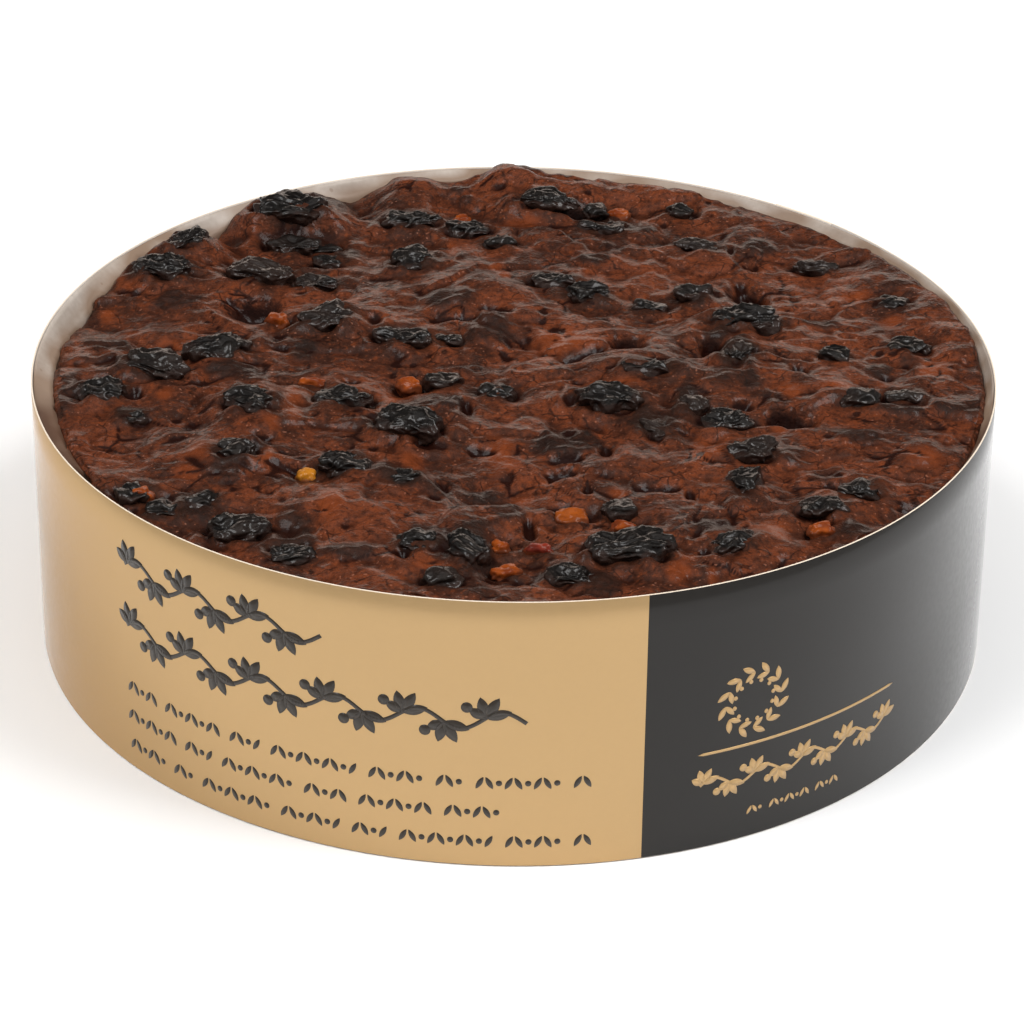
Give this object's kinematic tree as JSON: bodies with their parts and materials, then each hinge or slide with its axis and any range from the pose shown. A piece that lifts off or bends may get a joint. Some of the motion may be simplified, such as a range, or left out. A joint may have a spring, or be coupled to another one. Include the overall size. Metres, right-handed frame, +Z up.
{
  "type": "fruit cake",
  "caption": "Round uncut rich fruit cake in a printed card collar, its sticky dark top full of raisins, nuts and peel.",
  "frame": {"origin": "on the table under the middle of the collar", "axes": "+Z up out of the cake's top; -Y towards the printed front; +X to the right of someone facing the front"},
  "size_m": [0.18, 0.18, 0.0569],
  "materials": {
    "crumb": "sticky, satin",
    "raisin": "wrinkled, satin",
    "card": "satin gold and dark grey print"
  },
  "bodies": {
    "root": {"cake": "crumb", "collar": "card", "raisin_01": "raisin", "raisin_02": "raisin", "raisin_03": "raisin", "raisin_04": "raisin", "raisin_05": "raisin", "raisin_06": "raisin", "raisin_07": "raisin", "raisin_08": "raisin", "raisin_09": "raisin", "raisin_10": "raisin", "raisin_11": "raisin", "raisin_12": "raisin", "raisin_13": "raisin", "raisin_14": "raisin", "raisin_15": "raisin", "raisin_16": "raisin", "raisin_17": "raisin", "raisin_18": "raisin", "raisin_19": "raisin", "raisin_20": "raisin", "raisin_21": "raisin", "raisin_22": "raisin", "raisin_23": "raisin", "raisin_24": "raisin", "raisin_25": "raisin", "raisin_26": "raisin", "raisin_27": "raisin", "raisin_28": "raisin", "raisin_29": "raisin", "raisin_30": "raisin", "raisin_31": "raisin", "raisin_32": "raisin", "raisin_33": "raisin", "raisin_34": "raisin", "raisin_35": "raisin", "raisin_36": "raisin", "raisin_37": "raisin", "raisin_38": "raisin", "raisin_39": "raisin", "raisin_40": "raisin", "raisin_41": "raisin", "raisin_42": "raisin", "raisin_43": "raisin", "raisin_44": "raisin"}
  },
  "joints": []
}
